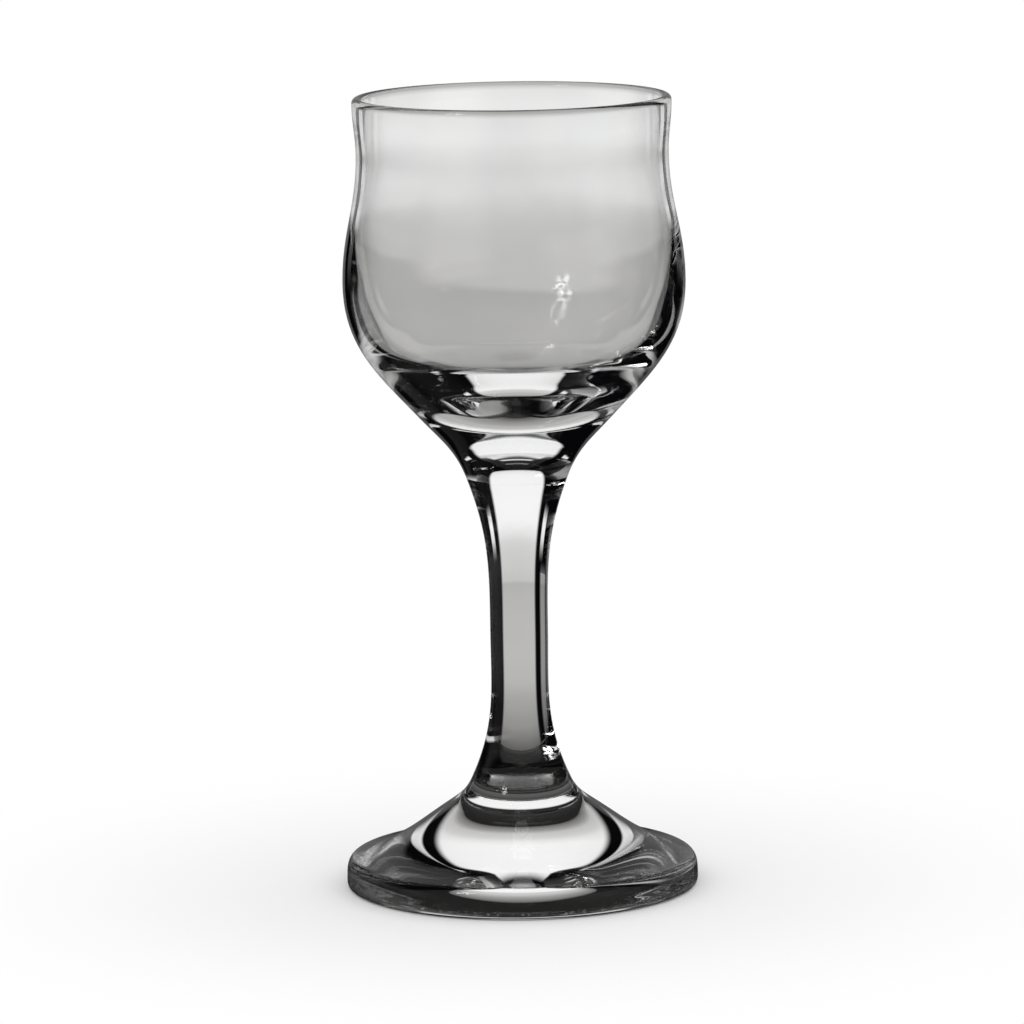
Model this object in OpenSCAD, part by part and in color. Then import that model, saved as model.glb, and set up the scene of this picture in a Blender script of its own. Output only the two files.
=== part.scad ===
// Cordial glass: a bowl, a drawn stem and a foot, fused hot to each other at two level seams.
// The row stands on the table plane, its axis is +Z, and all sizes are in millimetres.

/* [Bowl] */
// Height of the bowl, from its seam with the stem to the top of the rim
bowl_height = 56.5; // [50:0.5:64]
// Diameter over the rounded rim
rim_diameter = 47; // [45.4:0.2:49]
// Thickness of the fire-polished bead that runs round the rim
rim_bead = 1.6; // [1.4:0.1:2]
// Outer diameter where the bowl draws in below the rim
neck_diameter = 46; // [45:0.2:47]
// Thickness of the wall where the bowl draws in
neck_wall = 1.25; // [1:0.05:1.6]
// Height of the drawn-in part, as a share of the bowl's height
neck_height_share = 0.85; // [0.82:0.01:0.88]
// Widest outer diameter of the bowl
belly_diameter = 50.6; // [49.6:0.2:53]
// Height of the widest part, as a share of the bowl's height
belly_height_share = 0.515; // [0.5:0.005:0.53]
// How far the hollow swells out below its neck, as a share of how far the outside does
hollow_swell_share = 0.83; // [0.6:0.01:0.96]
// Height of the hollow's widest part, as a share of the bowl's height
hollow_height_share = 0.593; // [0.57:0.005:0.62]
// Height of the middle of the floor above the seam, which is solid glass up to there
floor_height = 11.7; // [10.6:0.1:13]
// Height of the turn between the hollow's wall and its floor, above the middle of the floor
turn_rise = 6.9; // [6.4:0.1:7.5]
// How far the wall draws in from its widest part to that turn
turn_inset = 5.2; // [4.8:0.1:6]
// Lean of the wall at the turn, as inward run per unit of fall
turn_slope_share = 1.24; // [1.1:0.02:1.4]
// How far the turn is from the edge of the floor's dish
dish_inset = 5.5; // [4.8:0.1:6.2]
// Depth of the dish in the floor
dish_depth = 3.3; // [2.6:0.1:3.8]
// Slope of the floor at the edge of the dish, as fall per unit of inward run
dish_slope_share = 0.34; // [0.24:0.02:0.44]
// Outer diameter half way down the solid base, where the cone is straightest
shoulder_diameter = 28.6; // [27:0.2:31]
// Height of that place, as a share of the bowl's height
shoulder_height_share = 0.16; // [0.14:0.005:0.18]
// Lean of the solid base there, as inward run per unit of fall
shoulder_slope_share = 0.92; // [0.8:0.02:1.1]

/* [Stem] */
// Length of the stem, from the foot's seam to the bowl's seam
stem_length = 45.5; // [36:0.5:60]
// Diameter of the seam between the stem and the bowl
bowl_seam_diameter = 15.1; // [13:0.1:17]
// Lean of the glass at the bowl's seam, as inward run per unit of fall
bowl_seam_slope_share = 0.38; // [0.3:0.01:0.46]
// Diameter of the stem where it is thinnest
waist_diameter = 8.6; // [7:0.1:11]
// Height of the thinnest part, as a share of the stem's length
waist_height_share = 0.495; // [0.4:0.005:0.6]
// Diameter of the seam between the foot and the stem
foot_seam_diameter = 14.8; // [13:0.1:17]
// Lean of the glass at the foot's seam, as outward run per unit of fall
foot_seam_slope_share = 0.46; // [0.36:0.01:0.56]

/* [Foot] */
// Widest diameter of the foot
foot_diameter = 52.4; // [48:0.2:58]
// Height of the foot, from the table to its seam with the stem
foot_height = 16; // [14:0.5:19]
// Diameter where the flare under the stem turns into the sloping top
knee_diameter = 22.4; // [20:0.2:26]
// Height of that turn above the table
knee_height = 12.1; // [11:0.1:12.8]
// Slope of the top at that turn, as fall per unit of outward run
knee_slope_share = 0.68; // [0.6:0.02:0.8]
// Distance from the foot's widest line in to where its edge starts to round over
edge_rounding = 1.4; // [1:0.1:2]
// Height of the top where its edge starts to round over
edge_top_height = 4.6; // [3.8:0.1:5.4]
// Slope of the top there, as fall per unit of outward run
edge_slope_share = 0.24; // [0.16:0.02:0.36]
// Height of the widest line above the table
edge_height = 2; // [1.6:0.1:2.6]
// Distance from the widest line in to the flat ring that the foot stands on
rest_inset = 1; // [0.8:0.1:4]
// Width of the ring that the foot stands on
rest_width = 3.4; // [2:0.2:6]
// Depth of the shallow hollow under the foot
kick_depth = 0.6; // [0.3:0.1:2.4]

/* [Smoothness] */
// Straight steps in each curved stretch of an outline
curve_steps = 12; // [6:1:20]
// Facets round the axis when the model is shown on screen
facets = 120; // [48:12:240]

/* [Hidden] */
$fn = facets;
// Parts of the glass, from the top down

// How far a curve runs on along its own direction at each end, as a share of its chord
curve_pull_share = 0.4;
// The same on both sides of the turn, where the hollow is straighter
turn_pull_share = 0.33;
// The same where the curve is close to a quarter of an ellipse
round_pull_share = 0.55;

// Radii
rim_radius = rim_diameter / 2;
neck_radius = neck_diameter / 2;
belly_radius = belly_diameter / 2;
hollow_neck_radius = neck_radius - neck_wall;
hollow_radius = hollow_neck_radius + (belly_radius - neck_radius) * hollow_swell_share;
turn_radius = hollow_radius - turn_inset;
dish_radius = turn_radius - dish_inset;
shoulder_radius = shoulder_diameter / 2;
bowl_seam_radius = bowl_seam_diameter / 2;
waist_radius = waist_diameter / 2;
foot_seam_radius = foot_seam_diameter / 2;
foot_radius = foot_diameter / 2;
knee_radius = knee_diameter / 2;
rest_radius = foot_radius - rest_inset;
bead_radius = rim_bead / 2;

// Heights above the table
foot_seam = foot_height;
bowl_seam = foot_height + stem_length;
rim_top = bowl_seam + bowl_height;
neck_level = bowl_seam + bowl_height * neck_height_share;
belly_level = bowl_seam + bowl_height * belly_height_share;
hollow_level = bowl_seam + bowl_height * hollow_height_share;
floor_level = bowl_seam + floor_height;
turn_level = floor_level + turn_rise;
dish_level = floor_level + dish_depth;
shoulder_level = bowl_seam + bowl_height * shoulder_height_share;
waist_level = foot_seam + stem_length * waist_height_share;
bead_level = rim_top - bead_radius;

// Directions in which the outlines run, as [outward, upward]
down = [0, -1];
up = [0, 1];
inward = [-1, 0];
bowl_seam_lean = [-bowl_seam_slope_share, -1];
shoulder_lean = [-shoulder_slope_share, -1];
foot_seam_lean = [foot_seam_slope_share, -1];
turn_lean = [-turn_slope_share, -1];
dish_lean = [-1, -dish_slope_share];
knee_lean = [1, -knee_slope_share];
edge_lean = [1, -edge_slope_share];

// One point of a curve that leaves a towards b and reaches d from c
function curve_point(a, b, c, d, t) =
    a * pow(1 - t, 3) + b * 3 * t * pow(1 - t, 2) + c * 3 * t * t * (1 - t) + d * pow(t, 3);

// Points of a curve from a, starting along p, to b, arriving along q, without its last point
function curve(a, p, b, q, pull) =
    let (reach = norm(b - a) * pull)
    let (c = a + p / norm(p) * reach)
    let (d = b - q / norm(q) * reach)
    [for (i = [0:curve_steps - 1]) curve_point(a, c, d, b, i / curve_steps)];

// Points of a half circle over the top of the rim, from its outer side on, without its last point
function bead_points(middle) =
    [for (i = [0:curve_steps - 1]) middle + bead_radius * [cos(180 * i / curve_steps), sin(180 * i / curve_steps)]];

// Stations of the outlines, as [radius, height]
bowl_seam_edge = [bowl_seam_radius, bowl_seam];
foot_seam_edge = [foot_seam_radius, foot_seam];
shoulder = [shoulder_radius, shoulder_level];
belly = [belly_radius, belly_level];
neck = [neck_radius, neck_level];
bead_outside = [rim_radius, bead_level];
bead_middle = [rim_radius - bead_radius, bead_level];
bead_inside = [rim_radius - rim_bead, bead_level];
hollow_neck = [hollow_neck_radius, neck_level];
hollow_belly = [hollow_radius, hollow_level];
turn = [turn_radius, turn_level];
dish_edge = [dish_radius, dish_level];
floor_middle = [0, floor_level];
waist = [waist_radius, waist_level];
knee = [knee_radius, knee_height];
edge_start = [foot_radius - edge_rounding, edge_top_height];
edge_widest = [foot_radius, edge_height];
rest_outside = [rest_radius, 0];
rest_inside = [rest_radius - rest_width, 0];
kick_middle = [0, kick_depth];

// The bowl: a hollow that opens at the rim, above a solid base that narrows to the stem
module bowl() {
    outside = concat(
        curve(bowl_seam_edge, -bowl_seam_lean, shoulder, -shoulder_lean, curve_pull_share),
        curve(shoulder, -shoulder_lean, belly, up, curve_pull_share),
        curve(belly, up, neck, up, curve_pull_share),
        curve(neck, up, bead_outside, up, curve_pull_share)
    );
    inside = concat(
        curve(bead_inside, down, hollow_neck, down, curve_pull_share),
        curve(hollow_neck, down, hollow_belly, down, curve_pull_share),
        curve(hollow_belly, down, turn, turn_lean, turn_pull_share),
        curve(turn, turn_lean, dish_edge, dish_lean, turn_pull_share),
        curve(dish_edge, dish_lean, floor_middle, inward, curve_pull_share)
    );
    color([0.86, 0.9, 0.91, 0.35])
    rotate_extrude()
    polygon(concat([[0, bowl_seam]], outside, bead_points(bead_middle), inside, [floor_middle]));
}

// The stem: one drawn rod that is thinnest near its middle and flares to both seams
module stem() {
    side = concat(
        curve(foot_seam_edge, -foot_seam_lean, waist, up, curve_pull_share),
        curve(waist, up, bowl_seam_edge, -bowl_seam_lean, curve_pull_share)
    );
    color([0.84, 0.88, 0.9, 0.35])
    rotate_extrude()
    polygon(concat([[0, foot_seam]], side, [bowl_seam_edge, [0, bowl_seam]]));
}

// The foot: a flared disc with a rounded edge, standing on a ring round a shallow hollow
module foot() {
    top = concat(
        curve(foot_seam_edge, foot_seam_lean, knee, knee_lean, curve_pull_share),
        curve(knee, knee_lean, edge_start, edge_lean, curve_pull_share),
        curve(edge_start, edge_lean, edge_widest, down, curve_pull_share),
        curve(edge_widest, down, rest_outside, inward, round_pull_share)
    );
    underside = curve(rest_inside, inward, kick_middle, inward, curve_pull_share);
    color([0.85, 0.89, 0.9, 0.35])
    rotate_extrude()
    polygon(concat([[0, foot_seam]], top, [rest_outside], underside, [kick_middle]));
}

bowl();
stem();
foot();
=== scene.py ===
# %% [markdown]
# # A cordial glass
#
# A small stemmed glass for liqueur, in clear glass. It is made of three parts that were fused while they
# were hot: a bowl, a drawn stem and a foot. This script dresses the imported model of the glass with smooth
# spun surfaces and real refraction, and lights it the way that glass is lit in a studio: with one bright
# field behind it and darkness on both sides, so that its edges are drawn in black.
#
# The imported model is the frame. It says how large each part is and where it stands, in metres, with the
# table at height zero and the glass's axis along +Z.

# %% Load the frame
import math

import bmesh
import bpy
from mathutils import Matrix, Vector, noise
from mathutils.geometry import interpolate_bezier


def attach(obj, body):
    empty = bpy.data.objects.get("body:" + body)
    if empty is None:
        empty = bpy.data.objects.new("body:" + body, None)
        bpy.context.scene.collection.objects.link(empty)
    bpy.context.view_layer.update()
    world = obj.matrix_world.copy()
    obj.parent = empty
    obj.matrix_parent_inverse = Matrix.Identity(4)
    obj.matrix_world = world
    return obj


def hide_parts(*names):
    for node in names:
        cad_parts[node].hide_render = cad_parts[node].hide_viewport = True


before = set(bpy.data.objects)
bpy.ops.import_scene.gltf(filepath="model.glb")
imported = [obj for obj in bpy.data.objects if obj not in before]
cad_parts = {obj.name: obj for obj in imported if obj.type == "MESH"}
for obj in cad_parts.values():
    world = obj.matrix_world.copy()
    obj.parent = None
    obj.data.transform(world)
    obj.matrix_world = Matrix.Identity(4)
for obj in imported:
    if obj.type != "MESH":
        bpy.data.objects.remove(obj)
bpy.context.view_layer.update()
scene = bpy.context.scene
MM = 0.001

# %% [markdown]
# ## The camera
#
# The photograph was taken from about 0.94 m away with a long lens, from a little above the rim, so that the
# rim and the foot both show as narrow ellipses. The camera stands in front of the glass on the -Y side, looks
# down by 9 degrees, and is rolled by less than one degree, because the glass leans a little in the picture.
# A camera's matrix holds its own right, up and back directions as columns, so they are worked out and put in.

# %% The camera in front of the glass
CAMERA_DISTANCE = 931.5 * MM
CAMERA_HEIGHT = 205.6 * MM
CAMERA_ASIDE = -0.8 * MM
AIM_HEIGHT = 56.1 * MM
CAMERA_ROLL = math.radians(0.846)

camera_data = bpy.data.cameras.new("camera")
camera_data.sensor_width = 36
camera_data.lens = 223.7
camera_data.clip_start = 0.01
camera_data.dof.use_dof = False
camera = bpy.data.objects.new("camera", camera_data)
scene.collection.objects.link(camera)
scene.camera = camera

pitch = math.atan2(CAMERA_HEIGHT - AIM_HEIGHT, CAMERA_DISTANCE)
forward = Vector((0, math.cos(pitch), -math.sin(pitch)))
level_up = Vector((0, math.sin(pitch), math.cos(pitch)))
level_right = forward.cross(level_up)
rolled_up = level_up * math.cos(CAMERA_ROLL) + level_right * math.sin(CAMERA_ROLL)
rolled_right = forward.cross(rolled_up)
turn = Matrix((rolled_right, rolled_up, -forward)).transposed()
camera.matrix_world = Matrix.Translation((CAMERA_ASIDE, -CAMERA_DISTANCE, CAMERA_HEIGHT)) @ turn.to_4x4()
print("the camera looks down by", round(math.degrees(pitch), 1), "degrees")

# %% [markdown]
# ## Helpers for node trees
#
# A material or a world is a tree of nodes. These helpers add one node, join its inputs and hand back its
# output, so that a formula reads from left to right. A smooth step goes from 0 to 1 between two values, and
# it is what makes a soft edge on a light or on a worn patch.

# %% Node helpers
def add_node(tree, kind, **inputs):
    node = tree.nodes.new(kind)
    for name, value in inputs.items():
        socket = node.inputs[name.replace("_", " ")]
        if isinstance(value, bpy.types.NodeSocket):
            tree.links.new(value, socket)
        else:
            socket.default_value = value
    return node


def calculate(tree, operation, first, second=0.0):
    node = tree.nodes.new("ShaderNodeMath")
    node.operation = operation
    for socket, value in zip(node.inputs, (first, second)):
        if isinstance(value, bpy.types.NodeSocket):
            tree.links.new(value, socket)
        else:
            socket.default_value = value
    return node.outputs["Value"]


def smooth_step(tree, value, start, end, low=0.0, high=1.0):
    node = tree.nodes.new("ShaderNodeMapRange")
    node.interpolation_type = "SMOOTHSTEP"
    tree.links.new(value, node.inputs["Value"])
    for name, number in zip(("From Min", "From Max", "To Min", "To Max"), (start, end, low, high)):
        node.inputs[name].default_value = number
    return node.outputs["Result"]


print("node helpers are ready")

# %% [markdown]
# ## The light that glass shows
#
# Clear glass has almost no colour of its own. What it shows is its surroundings, bent. Photographers light it
# against a bright field with dark cards on both sides: where a ray runs straight through, the glass is pale,
# and where it is bent far to the side, near the outline, the glass turns black.
#
# The bright fields are rows of numbers: the azimuth of the middle, which is 0 straight behind the glass and
# grows to the right, half the width, how soft the sides are, the elevations between which it reaches, and its
# brightness. The first one stands behind the glass. The second hangs over it, past a dark gap, and gives the
# bright bands in the thick glass. Two thin strips draw the bright lines round the middle of the foot. The
# others stand at the sides and in front, and are there for the glass's other sides. The tops and bottoms of
# all of them are soft over `EDGE` degrees each way, and everything between the fields is nearly black.
#
# A field is also mirrored by the outside of the glass, most of all along its outline, where it would draw a
# pale edge. In the photograph the outline is dark, so a mirrored field keeps only a share of its brightness.

# %% The bright fields
FIELDS = (
    ("behind", 0, 24, 2, -75, 43, 1.0),
    ("hanging", 0, 22, 3, 52, 62, 0.9),
    ("right strip", 36, 4, 1, -5, 7, 1.0),
    ("left strip", -36, 4, 1, -5, 7, 1.0),
    ("left side", -90, 24, 14, -75, 8, 0.65),
    ("table at the left", -46, 9, 3, -75, -12, 0.6),
    ("right front", 135, 25, 15, -75, 12, 0.75),
)
EDGE = 4
MIRRORED_SHARE = 0.3
DARK_CARDS = (0.002, 0.002, 0.0025, 1)
WARMTH = 0.02


def azimuth_of(tree, across, away):
    """The azimuth of a place, in degrees."""
    return calculate(tree, "MULTIPLY", calculate(tree, "ARCTAN2", across, away), 180 / math.pi)


def between_sides(tree, azimuth, middle, half_width, soft, brightness=1.0):
    """The brightness of a field inside its two sides, and 0 outside them."""
    offset = calculate(tree, "ABSOLUTE", calculate(tree, "SUBTRACT", azimuth, middle))
    return smooth_step(tree, offset, half_width - soft, half_width + soft, brightness, 0.0)


def grey_ramp(tree, value, stops):
    """A colour ramp from pairs of a position and a grey, where the darker greys are a little warmer."""
    node = add_node(tree, "ShaderNodeValToRGB", Fac=value)
    while len(node.color_ramp.elements) < len(stops):
        node.color_ramp.elements.new(0.5)
    for stop, (position, grey) in zip(node.color_ramp.elements, stops):
        warmth = WARMTH * (1 - grey)
        stop.position = position
        stop.color = (grey * (1 + warmth), grey, grey * (1 - warmth), 1)
    return node.outputs["Color"]


def over_dark_cards(tree, bright, colour):
    """The colour where a field is bright, and the dark cards elsewhere."""
    # A Mix node keeps sockets for numbers, vectors and colours: 6, 7 and output 2 are the colours.
    node = add_node(tree, "ShaderNodeMix")
    node.data_type = "RGBA"
    tree.links.new(bright, node.inputs["Factor"])
    node.inputs[6].default_value = DARK_CARDS
    tree.links.new(colour, node.inputs[7])
    return node.outputs[2]


def strength_for_ray(tree):
    """Full strength for what shows through the glass, and a share of it for what its outside mirrors."""
    through_glass = add_node(tree, "ShaderNodeLightPath").outputs["Is Transmission Ray"]
    return smooth_step(tree, through_glass, 0, 1, MIRRORED_SHARE, 1.0)


print(len(FIELDS), "bright fields")

# %% [markdown]
# ## A ball round the glass
#
# Above the table, the glass sees a ball of half a metre round the bowl, painted by direction. Only rays that
# come from the glass see it. It is this near on purpose, as a sheet of card is in a small studio: the stem and
# the foot then look up at it more steeply than the bowl does, and see less of its bright part.

# %% The ball, read by direction
BALL_RADIUS = 0.5
BALL_MIDDLE = Vector((0, 0, 0.095))

ball_mesh = bpy.data.meshes.new("surroundings")
ball_shape = bmesh.new()
round_bowl = Matrix.Translation(BALL_MIDDLE)
bmesh.ops.create_icosphere(ball_shape, subdivisions=4, radius=BALL_RADIUS, matrix=round_bowl)
ball_shape.to_mesh(ball_mesh)
ball_shape.free()
ball = bpy.data.objects.new("surroundings", ball_mesh)
scene.collection.objects.link(ball)
ball.visible_camera = False
ball.visible_diffuse = False
ball.visible_shadow = False

painted = bpy.data.materials.new("painted surroundings")
painted.use_nodes = True
painted.cycles.emission_sampling = "NONE"
ball_mesh.materials.append(painted)
sky = painted.node_tree
sky.nodes.clear()

place = add_node(sky, "ShaderNodeTexCoord").outputs["Object"]
from_middle = add_node(sky, "ShaderNodeVectorMath")
from_middle.operation = "SUBTRACT"
sky.links.new(place, from_middle.inputs[0])
from_middle.inputs[1].default_value = BALL_MIDDLE
unit = add_node(sky, "ShaderNodeVectorMath")
unit.operation = "NORMALIZE"
sky.links.new(from_middle.outputs["Vector"], unit.inputs[0])
direction = unit.outputs["Vector"]
across, away, upward = add_node(sky, "ShaderNodeSeparateXYZ", Vector=direction).outputs
azimuth = azimuth_of(sky, across, away)
elevation = calculate(sky, "MULTIPLY", calculate(sky, "ARCSINE", upward), 180 / math.pi)
print("a ball of", BALL_RADIUS, "m, read by azimuth and elevation in degrees")

# %% [markdown]
# The fields share their colours by height: a grey near the table, and a clean white a little above the
# horizon. The ramp is read from 0 to 1, so the elevation is mapped from its range of 180 degrees first.

# %% The fields on the ball
HEIGHT_GREYS = ((-11, 0.63), (-8, 0.66), (-5.5, 0.70), (-4, 0.74), (-2, 0.86), (2, 1.0), (8, 1.0))


def field(middle, half_width, soft, bottom, top, brightness=1.0):
    """The brightness inside a field on the ball, and 0 outside it."""
    inside = between_sides(sky, azimuth, middle, half_width, soft, brightness)
    above = smooth_step(sky, elevation, bottom - EDGE, bottom + EDGE)
    below = smooth_step(sky, elevation, top - EDGE, top + EDGE, 1.0, 0.0)
    return calculate(sky, "MULTIPLY", inside, calculate(sky, "MULTIPLY", above, below))


fields = 0.0
for _, *numbers in FIELDS:
    fields = calculate(sky, "MAXIMUM", field(*numbers), fields)

height_share = add_node(sky, "ShaderNodeMapRange", Value=elevation, From_Min=-90, From_Max=90).outputs["Result"]
by_height = grey_ramp(sky, height_share, [((90 + degrees) / 180, grey) for degrees, grey in HEIGHT_GREYS])
colour = over_dark_cards(sky, fields, by_height)
pattern = add_node(sky, "ShaderNodeEmission", Color=colour, Strength=strength_for_ray(sky))
print("greys on the ball from", HEIGHT_GREYS[0][1], "to", HEIGHT_GREYS[-1][1])

# %% [markdown]
# One lamp is seen in the glass as a small, ragged glint on the bowl and again on the stem and the foot. It
# stands in front on the left, above the camera, behind a crumpled sheet, so a noise pattern breaks up its
# shape. It is painted on the ball too, and isn't a lamp object, because then it never shows as a hard square.

# %% The lamp behind a crumpled sheet
LAMP_BRIGHTNESS = 10.0
LAMP_FIELD = (-135, 6, 3, 27, 44)
CRUMPLES = 14.0
SHEET_OPENS = (0.40, 0.56)

crumpled = add_node(sky, "ShaderNodeTexNoise", Vector=direction, Scale=CRUMPLES, Detail=3.0).outputs["Fac"]
lamp_shape = calculate(sky, "MULTIPLY", field(*LAMP_FIELD), smooth_step(sky, crumpled, *SHEET_OPENS))
lamp_strength = calculate(sky, "MULTIPLY", lamp_shape, LAMP_BRIGHTNESS)
lamp_light = add_node(sky, "ShaderNodeEmission", Color=(1, 0.99, 0.97, 1), Strength=lamp_strength)
both = add_node(sky, "ShaderNodeAddShader")
sky.links.new(pattern.outputs["Emission"], both.inputs[0])
sky.links.new(lamp_light.outputs["Emission"], both.inputs[1])
sky.links.new(both.outputs["Shader"], add_node(sky, "ShaderNodeOutputMaterial").inputs["Surface"])
print("the lamp is", LAMP_BRIGHTNESS, "times as bright as white")

# %% [markdown]
# Everything else, which is the camera and the floor, sees an even white world. It lights the floor from all
# sides at strength 1, at which a colour renders about as it is written.

# %% The world
world = bpy.data.worlds.new("studio")
scene.world = world
world.use_nodes = True
room = world.node_tree
room.nodes.clear()
white = add_node(room, "ShaderNodeBackground", Color=(1, 1, 1, 1), Strength=1.0)
room.links.new(white.outputs["Background"], add_node(room, "ShaderNodeOutputWorld").inputs["Surface"])
world.cycles.sampling_method = "NONE"
print("the world is an even white")

# %% [markdown]
# ## The floor and its lamp
#
# The floor is a large pale disc. Near the glass it is a plain matt surface, so it shows the shadow. Further
# out it fades to the same white as the background, so that no horizon shows. It lies a hair below the foot,
# because a ray that leaves the glass can miss a surface that lies in exactly the same plane.
#
# Rays from the glass see it as the table of the photograph, painted by its distance from the glass: dark close
# to the foot, a painted shadow where the glass keeps the light off it, and grey further back. The fields that
# start low enough reach down over it, between the same two sides. A large lamp above gives the soft shadow, and
# is kept out of reflections.

# %% The floor
FLOOR_RADIUS = 2.5
HAIR = 0.05 * MM
PALE = (0.86, 0.86, 0.86, 1)
SHADOW_FADES = (0.03, 0.10)

floor_mesh = bpy.data.meshes.new("floor")
disc = bmesh.new()
hair_below = Matrix.Translation((0, 0, -HAIR))
bmesh.ops.create_circle(disc, cap_ends=True, segments=96, radius=FLOOR_RADIUS, matrix=hair_below)
disc.to_mesh(floor_mesh)
disc.free()
floor = bpy.data.objects.new("floor", floor_mesh)
scene.collection.objects.link(floor)

matt = bpy.data.materials.new("matt white floor")
matt.use_nodes = True
matt.cycles.emission_sampling = "NONE"
tree = matt.node_tree
tree.nodes.clear()
place = add_node(tree, "ShaderNodeTexCoord").outputs["Object"]
measured = add_node(tree, "ShaderNodeVectorMath")
measured.operation = "LENGTH"
tree.links.new(place, measured.inputs[0])
distance = measured.outputs["Value"]
kind_of_ray = add_node(tree, "ShaderNodeLightPath").outputs
beyond_shadow = smooth_step(tree, distance, *SHADOW_FADES)
plain_white = calculate(tree, "MULTIPLY", beyond_shadow, kind_of_ray["Is Camera Ray"])
paint = add_node(tree, "ShaderNodeBsdfDiffuse", Color=PALE)
glow = add_node(tree, "ShaderNodeEmission", Color=(1, 1, 1, 1), Strength=1.0)
seen_directly = add_node(tree, "ShaderNodeMixShader", Fac=plain_white)
tree.links.new(paint.outputs["BSDF"], seen_directly.inputs[1])
tree.links.new(glow.outputs["Emission"], seen_directly.inputs[2])
print("floor radius in m:", FLOOR_RADIUS)

# %% The table, as the glass sees it
LOW_ENOUGH = -20
TABLE_REACH = 0.5
# Painted shadow: the table that the glass sees is painted darkest close to the foot, and paler further out.
TABLE_GREYS = (
    (0.0, 0.01), (0.025, 0.02), (0.030, 0.12), (0.042, 0.22), (0.057, 0.31), (0.084, 0.37),
    (0.115, 0.42), (0.150, 0.50), (0.200, 0.53), (0.340, 0.49), (0.365, 0.60), (0.500, 0.63),
)

across, away, _ = add_node(tree, "ShaderNodeSeparateXYZ", Vector=place).outputs
floor_azimuth = azimuth_of(tree, across, away)
fields = 0.0
for _, middle, half_width, soft, bottom, _, brightness in FIELDS:
    if bottom < LOW_ENOUGH:
        inside = between_sides(tree, floor_azimuth, middle, half_width, soft, brightness)
        fields = calculate(tree, "MAXIMUM", inside, fields)

reach_share = calculate(tree, "DIVIDE", distance, TABLE_REACH)
by_distance = grey_ramp(tree, reach_share, [(metres / TABLE_REACH, grey) for metres, grey in TABLE_GREYS])
colour = over_dark_cards(tree, fields, by_distance)
table = add_node(tree, "ShaderNodeEmission", Color=colour, Strength=strength_for_ray(tree))
from_glass = calculate(tree, "MAXIMUM", kind_of_ray["Is Glossy Ray"], kind_of_ray["Is Transmission Ray"])
choice = add_node(tree, "ShaderNodeMixShader", Fac=from_glass)
tree.links.new(seen_directly.outputs["Shader"], choice.inputs[1])
tree.links.new(table.outputs["Emission"], choice.inputs[2])
tree.links.new(choice.outputs["Shader"], add_node(tree, "ShaderNodeOutputMaterial").inputs["Surface"])
floor_mesh.materials.append(matt)
print("greys on the table from", TABLE_GREYS[0][1], "to", TABLE_GREYS[-1][1])

# %% The overhead lamp
OVERHEAD_PLACE = Vector((0.2, 0.3, 1.1))

overhead = bpy.data.objects.new("overhead", bpy.data.lights.new("overhead", "AREA"))
overhead.data.size = 0.7
overhead.data.energy = 2.0
overhead.visible_glossy = False
overhead.visible_transmission = False
scene.collection.objects.link(overhead)
facing_glass = OVERHEAD_PLACE.to_track_quat("Z", "Y").to_matrix().to_4x4()
overhead.matrix_world = Matrix.Translation(OVERHEAD_PLACE) @ facing_glass
print("overhead lamp at", tuple(round(c, 2) for c in OVERHEAD_PLACE))

# %% [markdown]
# ## The shape of the glass
#
# A spun glass is the same all the way round, so one outline describes it. Each stretch of the outline is a
# smooth curve between two stations, with a direction given at each end, and Blender's own Bezier routine gives
# the points on it. A station is a radius and a height in millimetres. `pull` says how far the curve runs on
# along its direction at each end, as a share of the distance between the stations. It is a little less at the
# turn of the hollow, which is straighter, and more where the foot's edge rounds under.

# %% One stretch of an outline
STEPS = 20
CURVE_PULL, TURN_PULL, ROUND_PULL = 0.4, 0.33, 0.55
DOWN, UP, INWARD = Vector((0, -1)), Vector((0, 1)), Vector((-1, 0))


def stretch(start, leaving, end, arriving, pull=CURVE_PULL):
    """Points from start to end, without the last one."""
    reach = (end - start).length * pull
    leave = start + leaving.normalized() * reach
    arrive = end - arriving.normalized() * reach
    return interpolate_bezier(start, leave, arrive, end, STEPS + 1)[:-1]


print("each stretch has", STEPS, "steps")

# %% [markdown]
# The whole glass is described by these stations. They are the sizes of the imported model: the seams, the
# thinnest part of the stem, the widest part of the bowl and so on.

# %% Stations
BOWL_SEAM = 61.5
FOOT_SEAM = 16.0
RIM_TOP = 118.0
RIM_RADIUS = 23.5
BEAD = 0.8
NECK_HEIGHT = 109.53

foot_seam_edge = Vector((7.4, FOOT_SEAM))
bowl_seam_edge = Vector((7.55, BOWL_SEAM))
shoulder = Vector((14.3, 70.54))
belly = Vector((25.3, 90.6))
neck = Vector((23.0, NECK_HEIGHT))
lip_outside = Vector((RIM_RADIUS, RIM_TOP - BEAD))
lip_middle = Vector((RIM_RADIUS - BEAD, RIM_TOP - BEAD))
lip_inside = Vector((RIM_RADIUS - 2 * BEAD, RIM_TOP - BEAD))
hollow_neck = Vector((21.75, NECK_HEIGHT))
hollow_belly = Vector((23.65, 95.0))
hollow_turn = Vector((18.46, 80.1))
dish_edge = Vector((12.96, 76.5))
floor_middle = Vector((0, 73.2))

seam_lean = Vector((0.38, 1))
foot_seam_lean = Vector((0.46, -1))
shoulder_lean = Vector((0.92, 1))
turn_lean = Vector((-1.24, -1))
dish_lean = Vector((-1, -0.34))
print("the hollow is", round(RIM_TOP - floor_middle.y, 1), "mm deep")

# %% [markdown]
# ## Spinning an outline into a closed piece
#
# `bmesh.ops.spin` carries the outline round the axis. With use_merge the last slice joins the first one. The
# points on the axis become many copies of one point, and merging doubles closes the poles. After that the
# normals are recalculated, so that every face points out of the glass. Glass needs this more than any other
# material, because a ray bends one way when it enters and the other way when it leaves.
#
# A flat face where two parts were fused is kept, because each part is a closed solid of its own. Its edge is
# marked sharp, or its shading would bleed into the smooth side.

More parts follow.
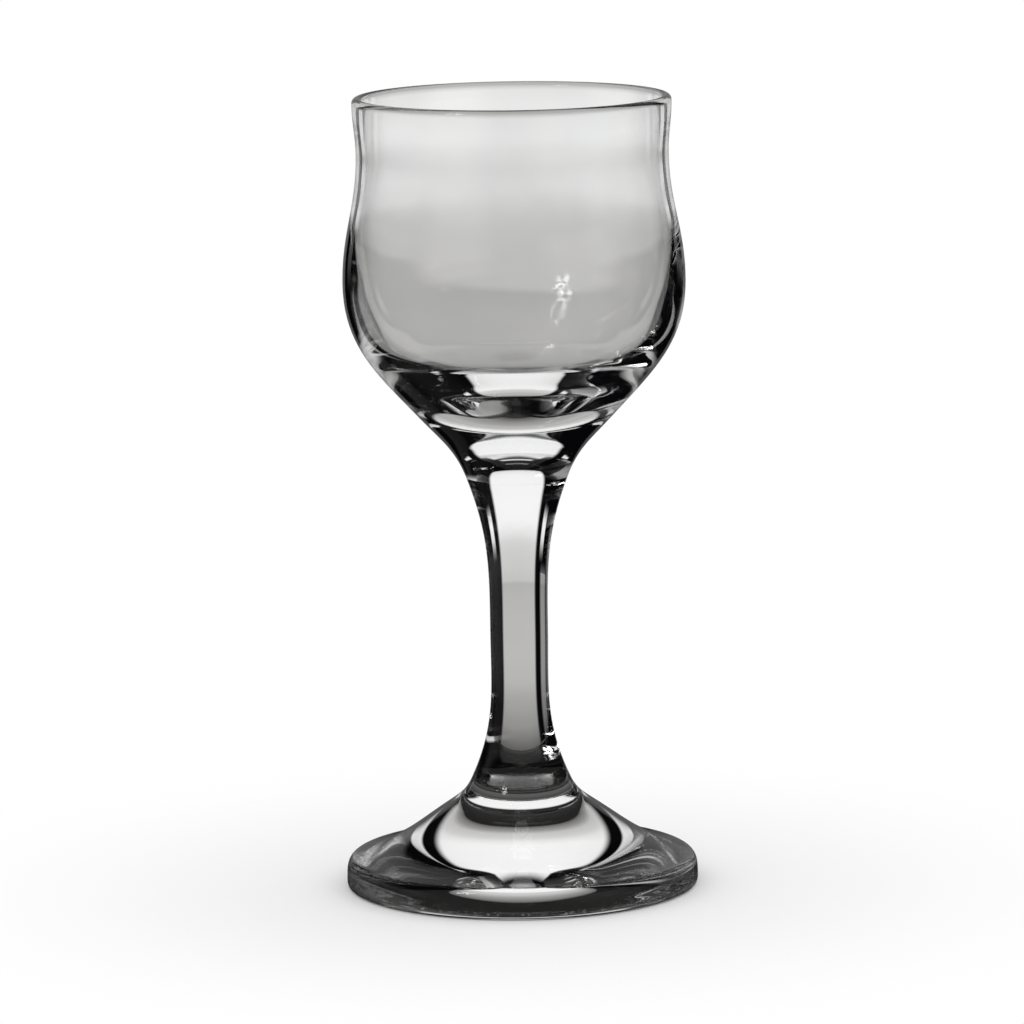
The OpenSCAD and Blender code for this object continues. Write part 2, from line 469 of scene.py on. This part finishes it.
# %% Spin helpers
SLICES = 224
DOUBLE = 0.0005 * MM
NEARLY_LEVEL = 0.9999
SAME_HEIGHT = 0.001 * MM


def spin_glass(name, outline):
    """A closed piece from an outline that starts and ends on the axis."""
    shape = bmesh.new()
    points = [shape.verts.new((max(radius, 0.0) * MM, 0, height * MM)) for radius, height in outline]
    edges = [shape.edges.new(pair) for pair in zip(points, points[1:])]
    bmesh.ops.spin(
        shape, geom=points + edges, cent=(0, 0, 0), axis=(0, 0, 1), angle=math.tau, steps=SLICES, use_merge=True
    )
    bmesh.ops.remove_doubles(shape, verts=shape.verts, dist=DOUBLE)
    bmesh.ops.recalc_face_normals(shape, faces=shape.faces)
    for face in shape.faces:
        face.smooth = True
    print(name, "has", len(shape.faces), "faces")
    return shape


def mark_seam(shape, height):
    """Gives the flat face at a seam its own material slot and a sharp edge."""
    level = [face for face in shape.faces if abs(face.normal.z) > NEARLY_LEVEL]
    flat = [face for face in level if abs(face.calc_center_median().z - height * MM) < SAME_HEIGHT]
    for face in flat:
        face.material_index = 1
        face.smooth = False
    rim = [e for e in shape.edges if len({f.material_index for f in e.link_faces}) == 2]
    for edge in rim:
        edge.smooth = False
    print("seam at", height, "mm:", len(flat), "flat faces")


def finish_piece(shape, name, node):
    """Makes the object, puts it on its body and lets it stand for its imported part."""
    mesh = bpy.data.meshes.new(name)
    shape.to_mesh(mesh)
    shape.free()
    piece = bpy.data.objects.new(name, mesh)
    scene.collection.objects.link(piece)
    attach(piece, "root")
    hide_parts(node)
    return piece


# %% [markdown]
# ## The bowl
#
# The bowl is blown or pressed in a mould, so its outside is exact and its inside is not: the wall varies a
# little in thickness, and that slight waviness is what makes the light in a real glass tremble. The inside is
# therefore moved by a gentle noise, of a few hundredths of a millimetre, most of it where the bowl is widest.
# The noise is drawn out round the glass, because hot glass flows into long, level waves. Near the rim the wall
# is calm. The rim is a full half circle, as fire polishing leaves it.

# %% The bowl
outside = (
    stretch(bowl_seam_edge, seam_lean, shoulder, shoulder_lean)
    + stretch(shoulder, shoulder_lean, belly, UP)
    + stretch(belly, UP, neck, UP)
    + stretch(neck, UP, lip_outside, UP)
)
half_circle = [math.pi * i / STEPS for i in range(STEPS)]
lip = [lip_middle + BEAD * Vector((math.cos(angle), math.sin(angle))) for angle in half_circle]
inside = (
    stretch(lip_inside, DOWN, hollow_neck, DOWN)
    + stretch(hollow_neck, DOWN, hollow_belly, DOWN)
    + stretch(hollow_belly, DOWN, hollow_turn, turn_lean, TURN_PULL)
    + stretch(hollow_turn, turn_lean, dish_edge, dish_lean, TURN_PULL)
    + stretch(dish_edge, dish_lean, floor_middle, INWARD)
)
bowl_shape = spin_glass("bowl", [Vector((0, BOWL_SEAM))] + outside + lip + inside + [floor_middle])
mark_seam(bowl_shape, BOWL_SEAM)

# %% The waviness of the hollow
# Heights and depths in millimetres, then how fine the noise is and how much finer it is upwards
WAVE, EXTRA_WAVE = 0.003, 0.06
WIDEST_HEIGHT, WIDEST_REACH = 90, 9
CALM_HEIGHT, CALM_REACH = 112, 10
WAVES, LEVELLING = 60, 3

inner_radius = {round(p.y, 3): p.x for p in inside}


def waviness(place):
    """How far the wall moves in or out at a place, in metres."""
    height = place.z / MM
    widest = max(0.0, 1 - abs(height - WIDEST_HEIGHT) / WIDEST_REACH)
    amount = (WAVE + EXTRA_WAVE * widest) * MM
    fade = min(1.0, max(0.0, (CALM_HEIGHT - height) / CALM_REACH))
    return amount * fade * noise.noise(Vector((place.x, place.y, place.z * LEVELLING)) * WAVES)


moved = 0
for vertex in bowl_shape.verts:
    radius = math.hypot(vertex.co.x, vertex.co.y) / MM
    height = round(vertex.co.z / MM, 3)
    if height in inner_radius and abs(radius - inner_radius[height]) < 0.01 and radius > 0.5:
        vertex.co += vertex.co.xy.to_3d().normalized() * waviness(vertex.co)
        moved += 1
bmesh.ops.recalc_face_normals(bowl_shape, faces=bowl_shape.faces)
bowl = finish_piece(bowl_shape, "spun_bowl", "bowl")
print("points of the hollow that tremble:", moved)

# %% [markdown]
# ## The stem and the foot
#
# The stem is drawn out of hot glass, so it is thinnest in the middle and flares into both seams. The foot is
# pressed: it falls from the stem in one curve to a rounded edge, and underneath it stands on a narrow ring
# round a shallow hollow, so that it doesn't rock.

# %% The stem
waist = Vector((4.3, 38.52))
stem_side = (
    stretch(foot_seam_edge, -foot_seam_lean, waist, UP)
    + stretch(waist, UP, bowl_seam_edge, seam_lean)
    + [bowl_seam_edge]
)
stem_shape = spin_glass("stem", [Vector((0, FOOT_SEAM))] + stem_side + [Vector((0, BOWL_SEAM))])
mark_seam(stem_shape, FOOT_SEAM)
mark_seam(stem_shape, BOWL_SEAM)
stem = finish_piece(stem_shape, "drawn_stem", "stem")

# %% The foot
knee = Vector((11.2, 12.1))
knee_lean = Vector((1, -0.68))
edge_start = Vector((24.8, 4.6))
edge_lean = Vector((1, -0.24))
edge_widest = Vector((26.2, 2.0))
rest_outside = Vector((25.2, 0))
rest_inside = Vector((21.8, 0))
kick_middle = Vector((0, 0.6))

foot_outline = (
    [Vector((0, FOOT_SEAM))]
    + stretch(foot_seam_edge, foot_seam_lean, knee, knee_lean)
    + stretch(knee, knee_lean, edge_start, edge_lean)
    + stretch(edge_start, edge_lean, edge_widest, DOWN)
    + stretch(edge_widest, DOWN, rest_outside, INWARD, ROUND_PULL)
    + [rest_outside]
    + stretch(rest_inside, INWARD, kick_middle, INWARD)
    + [kick_middle]
)
foot_shape = spin_glass("foot", foot_outline)
mark_seam(foot_shape, FOOT_SEAM)
foot = finish_piece(foot_shape, "pressed_foot", "foot")

# %% [markdown]
# ## The finish of used glass
#
# Even clean glass isn't a perfect surface. It has faint streaks from wiping, shallow ripples, and fine
# scratches on the ring that slides over the table. One node group makes these from Object coordinates, which
# are fixed to the glass, and each material tells it how fine its streaks and how deep its ripples are.
# The group gives out only a tint, a roughness and a normal. The shader stays in the material.

# %% The group of surface marks
GRIT, GRIT_EDGES, GRIT_ROUGHNESS = 1800.0, (0.5, 0.65), (0.01, 0.25)
TOUCHING, LIFTED = 0.01 * MM, 0.06 * MM
RIPPLES, RIPPLE_HEIGHT = 60.0, 0.3 * MM
STREAK_EDGES = (0.35, 0.65)
STREAK_TINT, CLEAN_TINT = (0.97, 0.975, 0.975, 1), (1, 1, 0.995, 1)

marks = bpy.data.node_groups.new("surface marks", "ShaderNodeTree")
for name, usual in (("Streak Fineness", 120.0), ("Ripple Depth", 0.1)):
    marks.interface.new_socket(name, in_out="INPUT", socket_type="NodeSocketFloat").default_value = usual
marks.interface.new_socket("Tint", in_out="OUTPUT", socket_type="NodeSocketColor")
marks.interface.new_socket("Roughness", in_out="OUTPUT", socket_type="NodeSocketFloat")
marks.interface.new_socket("Normal", in_out="OUTPUT", socket_type="NodeSocketVector")
asked = add_node(marks, "NodeGroupInput")
place = add_node(marks, "ShaderNodeTexCoord").outputs["Object"]
_, _, height = add_node(marks, "ShaderNodeSeparateXYZ", Vector=place).outputs

fineness = asked.outputs["Streak Fineness"]
streaks = add_node(marks, "ShaderNodeTexNoise", Vector=place, Scale=fineness, Detail=2.0)
tint = add_node(marks, "ShaderNodeValToRGB", Fac=streaks.outputs["Fac"])
for stop, position, colour in zip(tint.color_ramp.elements, STREAK_EDGES, (STREAK_TINT, CLEAN_TINT)):
    stop.position = position
    stop.color = colour

grit = add_node(marks, "ShaderNodeTexNoise", Vector=place, Scale=GRIT, Detail=1.0)
scratched = smooth_step(marks, grit.outputs["Fac"], *GRIT_EDGES, *GRIT_ROUGHNESS)
touching_table = smooth_step(marks, height, TOUCHING, LIFTED, 1.0, 0.0)
roughness = calculate(marks, "MULTIPLY", scratched, touching_table)

ripples = add_node(marks, "ShaderNodeTexNoise", Vector=place, Scale=RIPPLES, Detail=1.0)
ripple_depth = asked.outputs["Ripple Depth"]
bump = add_node(marks, "ShaderNodeBump", Strength=ripple_depth, Distance=RIPPLE_HEIGHT)
marks.links.new(ripples.outputs["Fac"], bump.inputs["Height"])
given = add_node(marks, "NodeGroupOutput")
marks.links.new(tint.outputs["Color"], given.inputs["Tint"])
marks.links.new(roughness, given.inputs["Roughness"])
marks.links.new(bump.outputs["Normal"], given.inputs["Normal"])
print("the group gives", [s.name for s in marks.interface.items_tree if s.in_out == "OUTPUT"])

# %% [markdown]
# ## Clear glass
#
# Soda-lime glass bends light with an index of refraction of 1.52, and it is fully transparent, so Transmission
# is 1 and Metallic 0. A lamp's shadow ray can't follow the bending of glass, and would find the glass opaque,
# so the Light Path node lets such rays pass with a small loss. That gives the light, soft shadow of real glass.

# %% Glass materials
REFRACTION = 1.52
SHADOW_LOSS = (0.9, 0.9, 0.9, 1)


def clear_glass(name, streak_fineness, ripple_depth):
    material = bpy.data.materials.new(name)
    material.use_nodes = True
    tree = material.node_tree
    tree.nodes.clear()
    group = tree.nodes.new("ShaderNodeGroup")
    group.node_tree = marks
    group.inputs["Streak Fineness"].default_value = streak_fineness
    group.inputs["Ripple Depth"].default_value = ripple_depth
    shader = add_node(tree, "ShaderNodeBsdfPrincipled", IOR=REFRACTION, Metallic=0.0, Transmission_Weight=1.0)
    tree.links.new(group.outputs["Tint"], shader.inputs["Base Color"])
    tree.links.new(group.outputs["Roughness"], shader.inputs["Roughness"])
    tree.links.new(group.outputs["Normal"], shader.inputs["Normal"])
    passing = add_node(tree, "ShaderNodeBsdfTransparent", Color=SHADOW_LOSS)
    shadow_ray = add_node(tree, "ShaderNodeLightPath").outputs["Is Shadow Ray"]
    mix = add_node(tree, "ShaderNodeMixShader", Fac=shadow_ray)
    tree.links.new(shader.outputs["BSDF"], mix.inputs[1])
    tree.links.new(passing.outputs["BSDF"], mix.inputs[2])
    tree.links.new(mix.outputs["Shader"], add_node(tree, "ShaderNodeOutputMaterial").inputs["Surface"])
    print(name, "streaks", streak_fineness, "ripples", ripple_depth)
    return material


bowl_glass = clear_glass("bowl glass", 120.0, 0.015)
stem_glass = clear_glass("stem glass", 160.0, 0.04)
foot_glass = clear_glass("foot glass", 140.0, 0.03)

# %% [markdown]
# At a seam the two parts have become one. Light crosses it without bending, so the flat faces inside are
# transparent, with only the faintest cloud where the skins of the two gathers met.

# %% The fused seams
seam = bpy.data.materials.new("fused seam")
seam.use_nodes = True
tree = seam.node_tree
tree.nodes.clear()
place = add_node(tree, "ShaderNodeTexCoord").outputs["Object"]
cloud = add_node(tree, "ShaderNodeTexNoise", Vector=place, Scale=400.0, Detail=2.0)
veil = add_node(tree, "ShaderNodeValToRGB", Fac=cloud.outputs["Fac"])
veil.color_ramp.elements[0].color = (0.97, 0.97, 0.97, 1)
veil.color_ramp.elements[1].color = (1, 1, 1, 1)
clear = add_node(tree, "ShaderNodeBsdfTransparent", Color=veil.outputs["Color"])
tree.links.new(clear.outputs["BSDF"], add_node(tree, "ShaderNodeOutputMaterial").inputs["Surface"])

for piece, glass in ((bowl, bowl_glass), (stem, stem_glass), (foot, foot_glass)):
    piece.data.materials.append(glass)
    piece.data.materials.append(seam)
print("materials:", [m.name for m in bpy.data.materials])

# %% [markdown]
# ## Last steps
#
# A ray that enters thick glass can bounce inside it many times before it leaves, so the path needs more bounces
# than the default.

# %% Bounces and the end
BOUNCES = 32
scene.view_settings.view_transform = "Standard"
scene.cycles.max_bounces = BOUNCES
scene.cycles.transmission_bounces = BOUNCES
scene.cycles.glossy_bounces = BOUNCES
scene.cycles.transparent_max_bounces = BOUNCES
